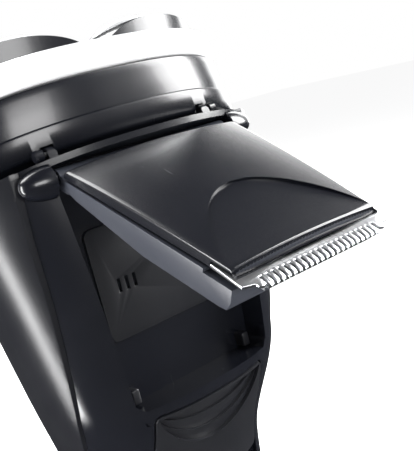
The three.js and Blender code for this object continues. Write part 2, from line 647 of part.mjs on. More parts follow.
for (const [index, place] of headPlaces.entries()) {
  const [x, y] = place;
  const number = index + 1;
  const direction = Math.atan2(y - hubY, x);
  const phase = followerPhase(hubTeeth, hubPhase, driveTeeth, direction);
  const driver = box(x - driverHalf[0], x + driverHalf[0], y - driverHalf[1], y + driverHalf[1],
    driverLow, driverTop);
  const spindle = rod('z', spindleRadius, gearLow - 0.3, driverLow + 0.2, place, 14);
  const spindleRound = rod('z', 1.5, driverLow - 1, driverTop + 1, place, 14);
  const driveGear = gear(driveTeeth, driveModule, gearLow, gearHigh, place, phase).add(spindle)
    .add(driver.intersect(spindleRound));
  addPiece(headGroup, `drive_gear_${number}`, driveGear, 'nylon');

  let cutter = rod('z', cutterHubRadius, cutterLow, discLow + 0.1, place, 18)
    .add(rod('z', cutterRadius, discLow, discHigh, place, 28));
  const bladeCount = 9;
  for (let blade = 0; blade < bladeCount; blade += 1) {
    const arm = box(cutterRadius - 2.2, cutterRadius - 0.4, -0.25, 0.25, discHigh - 0.1, bladeTop)
      .rotate([0, 0, blade * 360 / bladeCount]).translate([x, y, 0]);
    cutter = cutter.add(arm);
  }
  const slotHalf = driverHalf.map((half) => half + 0.3);
  cutter = cutter.subtract(box(x - slotHalf[0], x + slotHalf[0], y - slotHalf[1], y + slotHalf[1],
    cutterLow - 1, discHigh - 0.5));
  addPiece(headGroup, `cutter_${number}`, cutter, 'steel');

  let guard = rod('z', guardRadius, guardBottom, guardTop, place, 20, guardRadius - 0.5)
    .subtract(rod('z', guardRadius - 0.5, guardBottom - 1, guardTop - 0.7, place, 20, guardRadius - 0.9));
  const slotCount = 12;
  for (let slot = 0; slot < slotCount; slot += 1) {
    const cut = box(3.6, guardRadius - 1.6, -0.22, 0.22, guardTop - 2, guardTop + 1)
      .rotate([0, 0, slot * 360 / slotCount]).translate([x, y, 0]);
    guard = guard.subtract(cut);
  }
  addPiece(headGroup, `guard_${number}`, guard, 'silver');
}

// Domed lobes around the guards, parted by three lines that meet over the central gear.
const lobeInset = bandInner + 0.3 + 0.6;
const lobeBlock = headStack([[collarLow, lobeInset], [guardTop + 4, lobeInset + 0.4]]);
const partDirection = new THREE.Vector2(rearHeadY - frontHeadY, -shavingHeadX).normalize().multiplyScalar(80);
const partGap = 0.35;
const sectors = [
  [[partGap, 80], [partGap, hubY + partGap], [partDirection.x, hubY + partDirection.y + partGap], [80, 80]],
  [[-80, 80], [-partDirection.x, hubY + partDirection.y + partGap], [-partGap, hubY + partGap],
    [-partGap, 80]],
  [[0, hubY - 0.5], [-partDirection.x, hubY + partDirection.y - 0.5],
    [partDirection.x, hubY + partDirection.y - 0.5]],
];
const domeX = shavingHeadX + 1.2;
const rearDome = [rearHeadY - 0.4, guardRadius + 8.9, guardRadius + 6.9];
const domes = [[domeX, ...rearDome], [-domeX, ...rearDome],
  [0, frontHeadY, guardRadius + 11.4, guardRadius + 4.9]];
const domeHeight = 7.2;
for (const [index, place] of headPlaces.entries()) {
  const [x, y, halfX, halfY] = domes[index];
  const dome = solidOf(new THREE.SphereGeometry(1, 24, 12).rotateX(Math.PI / 2)
    .scale(halfX, halfY, domeHeight).translate(x, y, collarLow - 0.6));
  let collar = dome.intersect(lobeBlock).intersect(prism(sectors[index], 0, 40));
  collar = collar.subtract(rod('z', guardRadius + gap, 0, 40, place, 20));
  addPiece(headGroup, `head_collar_${index + 1}`, collar, 'gloss');
}

// Hair trimmer, made closed, in the frame of its hinge.

const trimmerHalfAt = (t) => trimmerRearHalf
  - (trimmerRearHalf - trimmerFrontHalf) * (t - trimmerRear) / (trimmerFront - trimmerRear);

// A slab between two distances from the hinge, narrowed by inset, from low to high.
function trimmerSlab(inset, from, to, low, high) {
  const outline = [[-trimmerHalfAt(to) + inset, -to], [trimmerHalfAt(to) - inset, -to],
    [trimmerHalfAt(from) - inset, -from], [-trimmerHalfAt(from) + inset, -from]];
  return backPrism(outline, low, high);
}

const coverThickness = 1.8;
const coverEdge = trimmerTop - coverThickness;
const trimmerWall = 1.6;
const crownRadius = 150;
const ridgeStart = trimmerFront - 1.9;
const crown = rod('z', crownRadius, -60, 20, [0, trimmerTop + 0.7 - crownRadius], 150);
let cover = trimmerSlab(0, trimmerRear, trimmerFront, coverEdge, trimmerTop + 1).intersect(crown);
const scoopReach = 14.6;
const scoopSink = 0.45;
const arcScoop = solidOf(new THREE.SphereGeometry(60, 48, 36)
  .translate(0, trimmerTop + 60 - scoopSink, -(ridgeStart + 0.6)));
const scoopLimit = rod('y', scoopReach, trimmerTop - 3, trimmerTop + 3, [0, -ridgeStart], 40)
  .intersect(box(-40, 40, -20, 20, -ridgeStart, 20));
cover = cover.subtract(arcScoop.intersect(scoopLimit));
const combY = trimmerTop - 1.2;
const combBack = 5;
cover = cover.subtract(box(-40, 40, -1, combY + gap, -60, -trimmerFront + combBack + gap));
addPiece(trimmerGroup, 'trimmer_cover', cover, 'gloss');

// The side view of the tray: shallow by the hinge, deep from the kink on, with a nub in front.
const trayTop = coverEdge - gap;
const trayFloor = trimmerTop - trimmerDeep;
const trayOutline = [[trayTop, -trimmerRear + 0.6], [trayTop, -trimmerFront + 0.1],
  [trayFloor + 1.4, -trimmerFront + 0.1], [trayFloor + 0.2, -trimmerFront + 0.6],
  [trayFloor, -trimmerFront + 2],
  [trayFloor, -trimmerKink], [trimmerTop - trimmerShallow - 1, -trimmerRear - 3],
  [trimmerTop - trimmerShallow, -trimmerRear + 0.6]];
const trayBlock = sidePrism(trayOutline, -30, 30)
  .intersect(trimmerSlab(0, trimmerRear - 2, trimmerFront, -10, 10));
const hollowSide = [[10, -6.2], [10, -60], [trayFloor + 1.2, -60], [trayFloor + 1.2, -trimmerKink],
  [-1.2, -6.2]];
const trayHollow = trimmerSlab(trimmerWall, trimmerRear + 2.4, trimmerFront - 3.4, trayFloor + 1.2, 10)
  .intersect(sidePrism(hollowSide, -30, 30));
const barrelRadius = 1.6;
const barrelHalf = trimmerRearHalf - 0.2;
const barrelBore = trimmerPinRadius + gap;
let tray = trayBlock.subtract(trayHollow).add(rod('x', barrelRadius, -barrelHalf, barrelHalf, [0, 0], 18));
for (const side of [-1, 1]) {
  const low = side > 0 ? barrelHalf - 3 : -barrelHalf;
  tray = tray.add(sidePrism([[trayTop, -2], [-1.1, -3.5], [-1.55, 0.3], [1.3, 0.9]], low, low + 3));
  const bore = rod('x', barrelBore, pinReach - gap, 20, [0, 0], 14);
  tray = tray.subtract(side > 0 ? bore : bore.mirror([1, 0, 0]));
}
const combSlotRoot = trimmerFront + 1.13;
const combThickness = 0.5;
const cutterThickness = 0.4;
const combHalf = trimmerFrontHalf;
const slotFront = box(-combHalf - 1, combHalf + 1, combY - combThickness - cutterThickness - 2 * gap, combY + 2,
  -50, -trimmerFront + combBack + gap);
tray = tray.subtract(slotFront);
const leverHole = box(-1.6, 1.6, trayFloor - 1, trayFloor + 3, -trimmerKink - 6, -trimmerKink - 1);
tray = tray.subtract(leverHole);
addPiece(trimmerGroup, 'trimmer_tray', tray, 'slate');

// A toothed plate along the front: a strip with a tooth between each pair of slots.
function combPlate(half, count, pitch, slotShare, back, root, nose, low, high) {
  let plate = box(-half, half, low, high, -nose, -back);
  for (let i = 0; i < count; i += 1) {
    const x = (i - (count - 1) / 2) * pitch;
    const slotHalf = pitch * slotShare / 2;
    plate = plate.subtract(box(x - slotHalf, x + slotHalf, low - 1, high + 1, -nose - 1, -root));
  }
  return plate;
}
const combNose = combSlotRoot + combReach;
const comb = combPlate(combHalf, combTeeth, combPitch, 0.42, trimmerFront - combBack, combSlotRoot, combNose,
  combY - combThickness, combY);
addPiece(trimmerGroup, 'trimmer_comb', comb, 'silver');
const movingTop = combY - combThickness - gap;
const moving = combPlate(combPitch * combTeeth / 2, combTeeth, combPitch, 0.5, trimmerFront - combBack + 1.5,
  combSlotRoot + 0.2, combNose - 0.5, movingTop - cutterThickness, movingTop);
addPiece(trimmerGroup, 'trimmer_cutter', moving, 'steel');
const leverPlace = trimmerKink + 5;
const springLow = trayFloor + 1.2 + gap;
const springFront = -leverPlace - 5;
const springBack = springFront + 1.8;
const leafSpring = box(-9, 9, springLow, springLow + 0.4, springFront, springBack)
  .add(box(-9, -8.4, springLow, 0.2, springFront, springBack));
addPiece(trimmerGroup, 'trimmer_spring', leafSpring, 'steel');
const lever = rod('y', 1.1, trayFloor - 0.6, 0.2, [0, -leverPlace + 1.2], 14)
  .add(box(-0.6, 0.6, -1, 0.2, -leverPlace - 1.6, -leverPlace + 1.2));
addPiece(trimmerGroup, 'trimmer_lever', lever, 'nylon');

export default shaver;
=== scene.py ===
import json
import math
import bpy
import bmesh
from mathutils import Matrix, Vector


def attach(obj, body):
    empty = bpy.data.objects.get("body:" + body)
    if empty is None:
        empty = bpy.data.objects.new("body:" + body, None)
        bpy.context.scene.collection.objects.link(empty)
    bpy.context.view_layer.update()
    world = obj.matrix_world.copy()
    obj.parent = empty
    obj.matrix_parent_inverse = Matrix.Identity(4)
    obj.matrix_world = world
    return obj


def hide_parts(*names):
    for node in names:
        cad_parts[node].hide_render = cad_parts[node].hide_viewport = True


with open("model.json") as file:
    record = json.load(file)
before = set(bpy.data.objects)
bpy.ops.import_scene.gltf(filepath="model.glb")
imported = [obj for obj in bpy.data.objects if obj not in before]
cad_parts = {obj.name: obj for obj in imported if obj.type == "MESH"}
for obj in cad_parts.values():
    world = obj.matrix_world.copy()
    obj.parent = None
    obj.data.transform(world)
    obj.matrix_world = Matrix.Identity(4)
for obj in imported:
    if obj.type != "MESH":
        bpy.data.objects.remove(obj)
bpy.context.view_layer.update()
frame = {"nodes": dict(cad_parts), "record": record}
mm = 0.001


def smoothCurve(stations):
    last = len(stations) - 1
    rise = [(stations[i + 1][1] - stations[i][1]) / (stations[i + 1][0] - stations[i][0]) for i in range(last)]
    slopes = [rise[0]]
    for before, after in zip(rise, rise[1:]):
        slopes.append(0 if before * after <= 0 else 2 * before * after / (before + after))
    slopes.append(rise[-1])

    def valueAt(place):
        i = 0
        while i < last - 1 and place > stations[i + 1][0]:
            i += 1
        length = stations[i + 1][0] - stations[i][0]
        t = min(1, max(0, (place - stations[i][0]) / length))
        blend = t * t * (3 - 2 * t)
        pull = t * (1 - t) ** 2 * slopes[i] - t * t * (1 - t) * slopes[i + 1]
        return stations[i][1] * (1 - blend) + stations[i + 1][1] * blend + pull * length
    return valueAt


def rounded(angle, power):
    c, s = math.cos(angle), math.sin(angle)
    return (math.copysign(abs(c) ** (2 / power), c), math.copysign(abs(s) ** (2 / power), s))


def evenAngles(count, power):
    # Angles that space the points of a rounded outline evenly, closed on itself.
    fine = [rounded(2 * math.pi * i / 4000, power) for i in range(4001)]
    lengths = [0]
    for a, b in zip(fine, fine[1:]):
        lengths.append(lengths[-1] + math.hypot(b[0] - a[0], b[1] - a[1]))
    angles, j = [], 0
    for i in range(count):
        want = lengths[-1] * i / count
        while lengths[j + 1] < want:
            j += 1
        part = (want - lengths[j]) / (lengths[j + 1] - lengths[j])
        angles.append(2 * math.pi * (j + part) / 4000)
    return angles


def makeObject(name, points, faces, material, sharpAngle=34):
    mesh = bpy.data.meshes.new(name)
    mesh.from_pydata([(x * mm, y * mm, z * mm) for x, y, z in points], [], faces)
    return finishMesh(name, mesh, material, sharpAngle)


def finishMesh(name, mesh, material, sharpAngle=34):
    bm = bmesh.new()
    bm.from_mesh(mesh)
    bmesh.ops.remove_doubles(bm, verts=bm.verts, dist=2e-7)
    bmesh.ops.recalc_face_normals(bm, faces=bm.faces)
    for edge in bm.edges:
        edge.smooth = len(edge.link_faces) == 2 and edge.calc_face_angle(3) < math.radians(sharpAngle)
    for face in bm.faces:
        face.smooth = True
        face.material_index = 0
    bm.to_mesh(mesh)
    bm.free()
    mesh.materials.clear()
    if material:
        mesh.materials.append(material)
    made = bpy.data.objects.new(name, mesh)
    bpy.context.scene.collection.objects.link(made)
    return made


def ringFaces(rings, around, closed=False, capEnds=True):
    faces = []
    total = rings if closed else rings - 1
    for r in range(total):
        a, b = r * around, ((r + 1) % rings) * around
        for i in range(around):
            j = (i + 1) % around
            faces.append((a + i, a + j, b + j, b + i))
    if capEnds and not closed:
        faces.append(tuple(range(around - 1, -1, -1)))
        faces.append(tuple(range((rings - 1) * around, rings * around)))
    return faces


def loftObject(name, rings, material=None, closed=False, sharpAngle=34):
    around = len(rings[0])
    points = [p for ring in rings for p in ring]
    return makeObject(name, points, ringFaces(len(rings), around, closed), material, sharpAngle)


def prismObject(name, outline, place, low, high, material=None):
    # An outline extruded between low and high; place(a, b, depth) gives the point.
    count = len(outline)
    points = [place(a, b, low) for a, b in outline] + [place(a, b, high) for a, b in outline]
    return makeObject(name, points, ringFaces(2, count), material)


def boxObject(name, low, high, material=None):
    outline = [(low[0], low[1]), (high[0], low[1]), (high[0], high[1]), (low[0], high[1])]
    return prismObject(name, outline, lambda a, b, d: (a, b, d), low[2], high[2], material)


def rodRings(profile, around, place):
    rings = []
    for depth, radius in profile:
        turn = [2 * math.pi * i / around for i in range(around)]
        rings.append([place(radius * math.cos(t), radius * math.sin(t), depth) for t in turn])
    return rings


def applied(made, name=None):
    # The evaluated shape as a plain mesh object; modifiers are gone.
    graph = bpy.context.evaluated_depsgraph_get()
    graph.update()
    mesh = bpy.data.meshes.new_from_object(made.evaluated_get(graph))
    material = made.data.materials[0] if made.data.materials else None
    label = name or made.name
    bpy.data.objects.remove(made)
    return finishMesh(label, mesh, material)


def combine(made, others, operation):
    for other in others:
        step = made.modifiers.new(operation.lower(), "BOOLEAN")
        step.operation = operation
        step.solver = "MANIFOLD"
        step.object = other
    graph = bpy.context.evaluated_depsgraph_get()
    graph.update()
    mesh = bpy.data.meshes.new_from_object(made.evaluated_get(graph))
    if not mesh.polygons:
        raise RuntimeError("nothing is left of " + made.name)
    made.modifiers.clear()
    made.data = mesh
    for other in others:
        bpy.data.objects.remove(other)
    return made


def join(name, parts):
    bm = bmesh.new()
    for part in parts:
        bm.from_mesh(part.data)
    mesh = bpy.data.meshes.new(name)
    bm.to_mesh(mesh)
    bm.free()
    material = parts[0].data.materials[0] if parts[0].data.materials else None
    for part in parts:
        bpy.data.objects.remove(part)
    return finishMesh(name, mesh, material)


def softenEdges(made, width, angle=38, segments=2):
    bevel = made.modifiers.new("edges", "BEVEL")
    bevel.width = width * mm
    bevel.segments = segments
    bevel.limit_method = "ANGLE"
    bevel.angle_limit = math.radians(angle)
    return applied(made)


def settle(made, body, slot, *nodes):
    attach(made, body)
    if nodes:
        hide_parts(*nodes)
    return made


cameraSetup = {"place": (72.03, 122.37, 134.59), "right": (-0.75007, 0.61442, -0.24471),
               "up": (-0.30209, 0.01086, 0.95322), "lens": 61.07}


def makeCamera(values):
    data = bpy.data.cameras.new("camera")
    data.lens = values["lens"]
    data.clip_start = 0.005
    camera = bpy.data.objects.new("camera", data)
    right = Vector(values["right"]).normalized()
    back = right.cross(Vector(values["up"])).normalized()
    up = back.cross(right)
    turn = Matrix((right, up, back)).transposed()
    camera.matrix_world = Matrix.Translation(Vector(values["place"]) * mm) @ turn.to_4x4()
    bpy.context.scene.collection.objects.link(camera)
    bpy.context.scene.camera = camera


makeCamera(cameraSetup)
print("camera placed")

lightSetup = {
    "rightPanel": {"place": (-420, 240, 330), "aim": (0, 15, 115), "size": (260, 420), "power": 7},
    "leftStrip": {"place": (330, -60, 60), "aim": (10, 0, 70), "size": (70, 420), "power": 3.2},
    "topPanel": {"place": (60, -220, 520), "aim": (0, 0, 120), "size": (420, 260), "power": 4.5},
    "rearFill": {"place": (60, 620, 260), "aim": (0, 20, 100), "size": (300, 200), "power": 2.2},
    "farPanel": {"place": (-560, -230, 260), "aim": (0, 20, 125), "size": (420, 420), "power": 3.4},
}


def makeLights(setup):
    for name, values in setup.items():
        data = bpy.data.lights.new(name, "AREA")
        data.shape = "RECTANGLE"
        data.size, data.size_y = (side * mm for side in values["size"])
        data.energy = values["power"]
        light = bpy.data.objects.new(name, data)
        place = Vector(values["place"]) * mm
        aim = Vector(values["aim"]) * mm
        turn = (place - aim).to_track_quat("Z", "Y").to_matrix().to_4x4()
        light.matrix_world = Matrix.Translation(place) @ turn
        bpy.context.scene.collection.objects.link(light)


def makeWorld(seen, unseen):
    world = bpy.data.worlds.new("studio")
    world.use_nodes = True
    nodes, links = world.node_tree.nodes, world.node_tree.links
    nodes.clear()
    path = nodes.new("ShaderNodeLightPath")
    mix = nodes.new("ShaderNodeMix")
    mix.data_type = "RGBA"
    mix.inputs["A"].default_value = (unseen, unseen, unseen * 1.04, 1)
    mix.inputs["B"].default_value = (seen, seen, seen, 1)
    links.new(path.outputs["Is Camera Ray"], mix.inputs["Factor"])
    background = nodes.new("ShaderNodeBackground")
    links.new(mix.outputs["Result"], background.inputs["Color"])
    output = nodes.new("ShaderNodeOutputWorld")
    links.new(background.outputs[0], output.inputs[0])
    bpy.context.scene.world = world


makeLights(lightSetup)
makeWorld(1.0, 0.05)
bpy.context.scene.view_settings.view_transform = "Standard"
print("studio lit")


def addSocket(tree, name, kind, way, value=None):
    socket = tree.interface.new_socket(name=name, in_out=way, socket_type=kind)
    if value is not None:
        socket.default_value = value
    return socket


def makeMouldedSurface():
    # Fine moulded grain, soft blotches, hairline scratches and a little settled dust.
    tree = bpy.data.node_groups.new("mouldedSurface", "ShaderNodeTree")
    for name, kind, value in (("Base", "NodeSocketColor", (0.02, 0.02, 0.03, 1)), ("Dust",
        "NodeSocketFloat", 0.1),
                              ("Roughness", "NodeSocketFloat", 0.3), ("Spread", "NodeSocketFloat", 0.06),
                              ("Grain", "NodeSocketFloat", 4000.0), ("Scratches", "NodeSocketFloat", 0.1)):
        addSocket(tree, name, kind, "INPUT", value)
    for name, kind in (("Color", "NodeSocketColor"), ("Roughness", "NodeSocketFloat"), ("Height",
        "NodeSocketFloat")):
        addSocket(tree, name, kind, "OUTPUT")
    nodes, links = tree.nodes, tree.links
    given, out = nodes.new("NodeGroupInput"), nodes.new("NodeGroupOutput")
    place = nodes.new("ShaderNodeTexCoord")
    blotch = nodes.new("ShaderNodeTexNoise")
    blotch.inputs["Scale"].default_value = 70
    blotch.inputs["Detail"].default_value = 4
    grain = nodes.new("ShaderNodeTexNoise")
    grain.inputs["Detail"].default_value = 2
    stretch = nodes.new("ShaderNodeMapping")
    stretch.inputs["Scale"].default_value = (2600, 260, 180)
    stretch.inputs["Rotation"].default_value = (0.3, 0.5, 0.7)
    hair = nodes.new("ShaderNodeTexNoise")
    hair.inputs["Scale"].default_value = 1
    hair.inputs["Detail"].default_value = 1
    for node in (blotch, grain, stretch):
        links.new(place.outputs["Object"], node.inputs["Vector"])
    links.new(stretch.outputs[0], hair.inputs["Vector"])
    links.new(given.outputs["Grain"], grain.inputs["Scale"])

    def calc(kind, a, b):
        node = nodes.new("ShaderNodeMath")
        node.operation = kind
        for socket, value in zip(node.inputs, (a, b)):
            if isinstance(value, (int, float)):
                socket.default_value = value
            else:
                links.new(value, socket)
        return node.outputs[0]

    scratch = calc("MULTIPLY", calc("GREATER_THAN", hair.outputs["Fac"], 0.74), given.outputs["Scratches"])
    cloud = blotch.outputs["Fac"]
    sift = calc("MULTIPLY", calc("POWER", cloud, 3.0), given.outputs["Dust"])
    tint = nodes.new("ShaderNodeMix")
    tint.data_type = "RGBA"
    links.new(sift, tint.inputs["Factor"])
    links.new(given.outputs["Base"], tint.inputs["A"])
    tint.inputs["B"].default_value = (0.32, 0.32, 0.33, 1)
    links.new(tint.outputs["Result"], out.inputs["Color"])
    swing = calc("MULTIPLY", calc("SUBTRACT", cloud, 0.5), given.outputs["Spread"])
    rough = calc("ADD", calc("ADD", given.outputs["Roughness"], swing), scratch)
    links.new(rough, out.inputs["Roughness"])
    links.new(grain.outputs["Fac"], out.inputs["Height"])
    return tree


def makeBrushedSurface():
    # Fine parallel brushing for the metal pieces.
    tree = bpy.data.node_groups.new("brushedSurface", "ShaderNodeTree")
    for name, kind, value in (("Base", "NodeSocketColor", (0.7, 0.7, 0.72, 1)), ("Roughness",
        "NodeSocketFloat", 0.25),
                              ("Along", "NodeSocketVector", (100, 3000, 3000)), ("Depth",
                              "NodeSocketFloat", 0.1)):
        addSocket(tree, name, kind, "INPUT", value)
    for name, kind in (("Color", "NodeSocketColor"), ("Roughness", "NodeSocketFloat"), ("Height",
        "NodeSocketFloat")):
        addSocket(tree, name, kind, "OUTPUT")
    nodes, links = tree.nodes, tree.links
    given, out = nodes.new("NodeGroupInput"), nodes.new("NodeGroupOutput")
    place = nodes.new("ShaderNodeTexCoord")
    scale = nodes.new("ShaderNodeVectorMath")
    scale.operation = "MULTIPLY"
    links.new(place.outputs["Object"], scale.inputs[0])
    links.new(given.outputs["Along"], scale.inputs[1])
    lines = nodes.new("ShaderNodeTexNoise")
    lines.inputs["Scale"].default_value = 1
    lines.inputs["Detail"].default_value = 3
    links.new(scale.outputs[0], lines.inputs["Vector"])
    spread = nodes.new("ShaderNodeMath")
    spread.operation = "MULTIPLY_ADD"
    links.new(lines.outputs["Fac"], spread.inputs[0])
    links.new(given.outputs["Depth"], spread.inputs[1])
    links.new(given.outputs["Roughness"], spread.inputs[2])
    links.new(spread.outputs[0], out.inputs["Roughness"])
    shade = nodes.new("ShaderNodeMix")
    shade.data_type = "RGBA"
    shade.blend_type = "MULTIPLY"
    shade.inputs["Factor"].default_value = 0.18
    links.new(given.outputs["Base"], shade.inputs["A"])
    links.new(lines.outputs["Fac"], shade.inputs["B"])
    links.new(shade.outputs["Result"], out.inputs["Color"])
    links.new(lines.outputs["Fac"], out.inputs["Height"])
    return tree


mouldedSurface = makeMouldedSurface()
brushedSurface = makeBrushedSurface()


def finish(name, group, settings, metallic=0.0, coat=0.0, bump=0.02, transmission=0.0, alpha=1.0):
    material = bpy.data.materials.new(name)
    material.use_nodes = True
    nodes, links = material.node_tree.nodes, material.node_tree.links
    shader = nodes["Principled BSDF"]
    shader.inputs["Metallic"].default_value = metallic
    shader.inputs["Coat Weight"].default_value = coat
    shader.inputs["Coat Roughness"].default_value = 0.08
    shader.inputs["Transmission Weight"].default_value = transmission
    shader.inputs["Alpha"].default_value = alpha
    surface = nodes.new("ShaderNodeGroup")
    surface.node_tree = group
    for key, value in settings.items():
        surface.inputs[key].default_value = value
    links.new(surface.outputs["Color"], shader.inputs["Base Color"])
    links.new(surface.outputs["Roughness"], shader.inputs["Roughness"])
    relief = nodes.new("ShaderNodeBump")
    relief.inputs["Strength"].default_value = bump
    relief.inputs["Distance"].default_value = 0.0002
    links.new(surface.outputs["Height"], relief.inputs["Height"])
    links.new(relief.outputs["Normal"], shader.inputs["Normal"])
    return material


def moulded(name, color, roughness, spread=0.05, dust=0.04, grain=4000.0, scratches=0.05, **more):
    settings = {"Base": (*color, 1), "Roughness": roughness, "Spread": spread, "Dust": dust, "Grain": grain,
                "Scratches": scratches}
    return finish(name, mouldedSurface, settings, **more)


def brushed(name, color, roughness, along=(100, 3000, 3000), depth=0.1, **more):
    settings = {"Base": (*color, 1), "Roughness": roughness, "Along": along, "Depth": depth}
    return finish(name, brushedSurface, settings, metallic=1.0, **more)


finishes = {
    "gloss": moulded("glossBlack", (0.0042, 0.0048, 0.0075), 0.25, dust=0.02, bump=0.004,
    scratches=0.02, coat=0.12),
    "satin": moulded("satinBlack", (0.008, 0.0085, 0.011), 0.36, bump=0.06),
    "grip": moulded("softGrip", (0.006, 0.0065, 0.009), 0.33, grain=6500.0, bump=0.1),
    "slate": moulded("slateSatin", (0.028, 0.031, 0.041), 0.38, bump=0.06),
    "silver": finish("brightBand", mouldedSurface,
                     {"Base": (0.9, 0.905, 0.915, 1), "Roughness": 0.2, "Dust": 0.02, "Spread": 0.08,
                      "Scratches": 0.06}, metallic=0.35, coat=0.6, bump=0.02),
    "combSteel": brushed("combSteel", (0.78, 0.79, 0.81), 0.24, along=(3000, 200, 200), bump=0.05),
    "steel": brushed("brushedSteel", (0.56, 0.57, 0.59), 0.26, bump=0.08),
    "brass": brushed("turnedBrass", (0.72, 0.5, 0.2), 0.28, bump=0.08),
    "nylon": moulded("naturalNylon", (0.68, 0.65, 0.57), 0.45, bump=0.06),
    "rubber": moulded("sealRubber", (0.012, 0.012, 0.012), 0.7, bump=0.2),
    "board": moulded("solderMask", (0.015, 0.11, 0.045), 0.35, bump=0.1),
    "label": moulded("shrinkWrap", (0.05, 0.14, 0.34), 0.3, bump=0.03),
    "lens": moulded("lensPlastic", (0.42, 0.75, 0.58), 0.14, transmission=0.5),
}
pale = moulded("paleFloor", (0.86, 0.86, 0.86), 0.6, dust=0.0, grain=200.0)
for entry in frame["record"]["subparts"]:
    node = frame["nodes"][entry["node"]]
    node.data.materials.clear()
    node.data.materials.append(finishes[entry["material_slot"]])
floorShader = pale.node_tree.nodes["Principled BSDF"]
floorShader.inputs["Emission Color"].default_value = (1, 1, 1, 1)
floorShader.inputs["Emission Strength"].default_value = 0.9
print("finishes made")

floor = boxObject("floor", (-3000, -3000, -20), (3000, 3000, -0.3), pale)
floor.visible_glossy = False


handleShape = {
    "width": [(0, 17.6), (12, 18.8), (30, 18.4), (48, 17.8), (65, 19.2), (86, 24.1), (107, 27.4), (128,
    30.4), (136, 31)],
    "back": [(0, 9.5), (10, 10.8), (30, 9.6), (48, 7.4), (65, 9.3), (86, 17), (107, 17.8), (128, 17),
    (136, 16.5)],
    "front": [(0, -12.6), (12, -14), (40, -15), (65, -15.6), (90, -17.6), (105, -21), (114, -26.4),
    (136, -33)],
    "backDepth": [(0, 11), (48, 11.5), (65, 16), (86, 18), (136, 18)],
    "power": 2.53, "wall": 2, "around": 220, "rows": 130, "crease": 0.55,
}
halfWidth = smoothCurve(handleShape["width"])
backY = smoothCurve(handleShape["back"])
frontY = smoothCurve(handleShape["front"])
backDepth = smoothCurve(handleShape["backDepth"])
handleAngles = evenAngles(handleShape["around"], handleShape["power"])


def handleRings(inset, low, high, rows):
    rings = []
    for r in range(rows + 1):
        z = low + (high - low) * r / rows
        centre = backY(z) - backDepth(z)
        ring = []
        for angle in handleAngles:
            across, along = rounded(angle, handleShape["power"])
            depth = backDepth(z) - inset if along > 0 else centre - frontY(z) - inset
            ring.append((across * (halfWidth(z) - inset), centre + along * depth, z))
        rings.append(ring)
    return rings


headTilt = math.radians(20.5)
headCentre = (0, -7.64, 123.07)
headPlace = Matrix.Translation(Vector(headCentre)) @ Matrix.Rotation(headTilt, 4, "X")


def lean(x, y, h):
    point = headPlace @ Vector((x, y, h))
    return (point.x, point.y, point.z)


def leaningBox(name, low, high):
    outline = [(low[0], low[1]), (high[0], low[1]), (high[0], high[1]), (low[0], high[1])]
    return prismObject(name, outline, lean, low[2], high[2])


def splinePoints(points, steps):
    curve = []
    spread = [points[0]] + points + [points[-1]]
    for i in range(len(points) - 1):
        a, b, c, d = (Vector(p) for p in spread[i:i + 4])
        for s in range(steps):
            t = s / steps
            curve.append(tuple(0.5 * ((2 * b) + (c - a) * t + (2 * a - 5 * b + 4 * c - d) * t * t
                                      + (3 * b - a - 3 * c + d) * t ** 3)))
    curve.append(points[-1])
    return curve


gripEdges = {"rear": [(12.9, 133), (12.5, 120), (11.6, 105), (9, 90), (5, 79.5), (-3, 68)],
             "front": [(-3, 68), (-10, 78), (-13.5, 92), (-18, 108), (-24, 133)], "seam": 0.16}


def gripPrism(name, grow, low, high):
    outline = splinePoints(gripEdges["rear"], 10)[:-1] + splinePoints(gripEdges["front"], 10)
    count = len(outline)
    grown = []
    for i, (y, z) in enumerate(outline):
        a, b = Vector(outline[max(0, i - 1)]), Vector(outline[min(count - 1, i + 1)])
        along = (b - a).normalized()
        grown.append((y - along.y * grow, z + along.x * grow))
    return prismObject(name, grown, lambda a, b, d: (d, a, b), low, high)


bayShape = {"rearHalf": 18.15, "slope": 0.0751, "rearZ": 123.5, "bottom": 84.6, "floorY": 9.2,
    "wall": 1.2, "top": 133}


def bayOutline(grow, bottomGrow=None):
    low = bayShape["bottom"] - (grow if bottomGrow is None else bottomGrow)

    def halfAt(z):
        return bayShape["rearHalf"] + grow - bayShape["slope"] * (bayShape["rearZ"] - z)
    high = bayShape["top"]
    corner = 1.4
    return [(-halfAt(low) + corner, low), (halfAt(low) - corner, low), (halfAt(low), low + corner),
            (halfAt(high), high), (-halfAt(high), high), (-halfAt(low), low + corner)]


def backPrism(name, outline, low, high):
    return prismObject(name, outline, lambda a, b, d: (a, d, b), low, high)


slideShape = {"half": 12.4, "length": 20, "deep": 2.8, "travel": 4, "top": 82.8}
slideShape["low"] = slideShape["top"] - slideShape["length"]
slideAngle = math.atan2(backY(slideShape["top"]) - backY(slideShape["low"]), slideShape["length"])
slidePlace = Matrix.Translation((0, (backY(slideShape["top"]) + backY(slideShape["low"])) / 2,
                                 (slideShape["top"] + slideShape["low"]) / 2)) @ Matrix.Rotation(-slideAngle, 4, "X")


def onSlide(x, y, z):
    point = slidePlace @ Vector((x, y, z))
    return (point.x, point.y, point.z)


def slidePrism(name, outline, low, high):
    return prismObject(name, outline, lambda a, b, d: onSlide(a, d, b), low, high)


def roundedRect(halfX, low, high, corner, steps=6):
    outline = []
    for cx, cy, start in ((halfX - corner, high - corner, 0), (-halfX + corner, high - corner, 90),
                          (-halfX + corner, low + corner, 180), (halfX - corner, low + corner, 270)):
        for s in range(steps + 1):
            turn = math.radians(start + 90 * s / steps)
            outline.append((cx + corner * math.cos(turn), cy + corner * math.sin(turn)))
    return outline


fairingShape = {"low": 18.3, "length": 5.6, "radius": 2.7, "y": 14, "z": 126}


